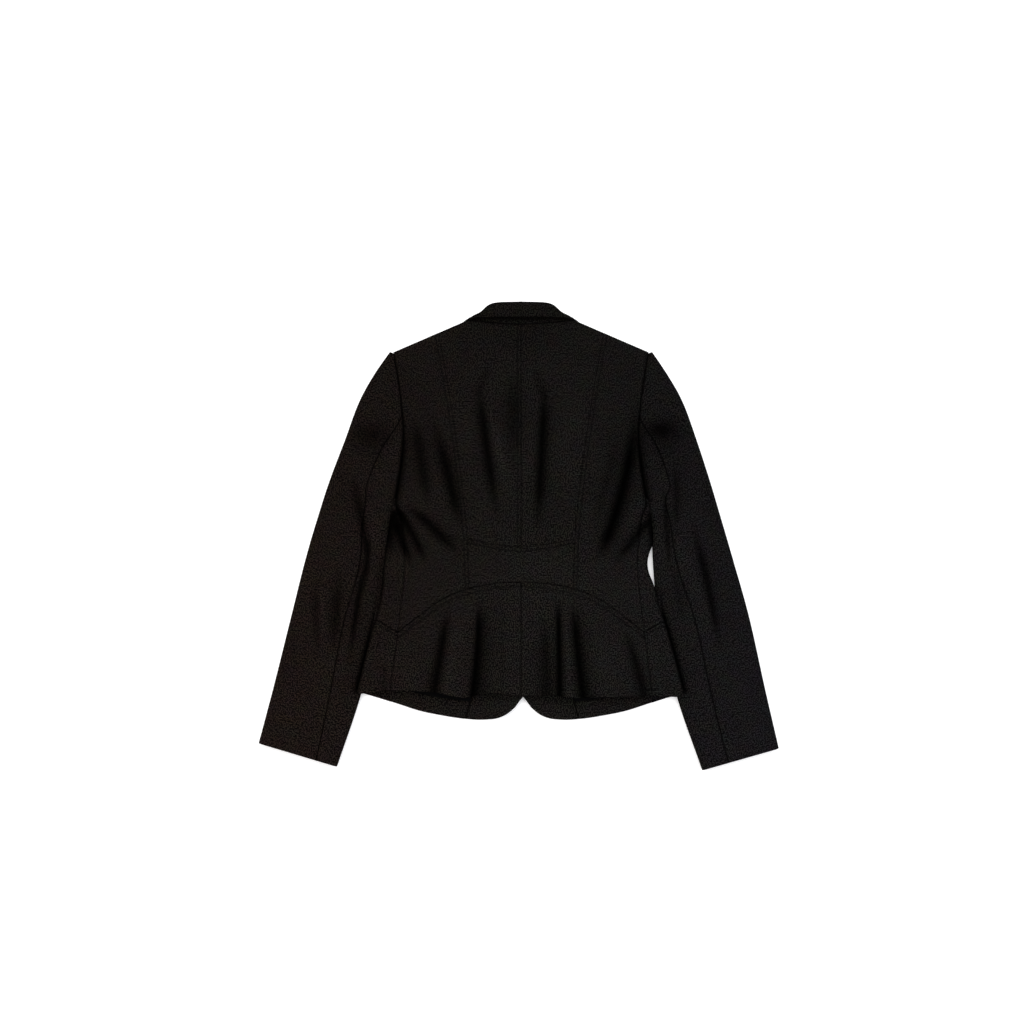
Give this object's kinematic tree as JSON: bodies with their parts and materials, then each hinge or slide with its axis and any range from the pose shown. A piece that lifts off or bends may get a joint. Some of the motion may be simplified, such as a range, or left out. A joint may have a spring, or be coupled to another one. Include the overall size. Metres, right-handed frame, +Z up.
{
  "type": "tweed jacket",
  "caption": "Fitted tweed jacket lying flat on its front, back up, with shaped sleeves, a turned-down collar, a seamed waist band and a fluted peplum.",
  "frame": {"origin": "on the surface that the jacket lies on, under the middle of its plan", "axes": "+Y from the hem towards the collar, +X from the wearer's left to the right, +Z up out of the back of the jacket"},
  "size_m": [0.7792, 0.6988, 0.0406],
  "materials": {
    "tweed": "mottled wool tweed, matt",
    "lining": "smooth black lining",
    "horn": "dull black"
  },
  "bodies": {
    "root": {"back_centre_left": "tweed", "back_centre_right": "tweed", "back_side_left": "tweed", "back_side_right": "tweed", "waist_band": "tweed", "peplum_back_left": "tweed", "peplum_back_right": "tweed", "side_panel_left": "tweed", "side_panel_right": "tweed", "peplum_side_left": "tweed", "peplum_side_right": "tweed", "front_left": "tweed", "front_right": "tweed", "facing_left": "tweed", "facing_right": "tweed", "hem_left": "tweed", "hem_right": "tweed", "lining_left": "lining", "lining_right": "lining", "top_sleeve_left": "tweed", "top_sleeve_right": "tweed", "under_sleeve_left": "tweed", "under_sleeve_right": "tweed", "collar_stand": "tweed", "collar_fall": "tweed", "lapel_left": "tweed", "lapel_right": "tweed", "button": "horn"}
  },
  "joints": []
}
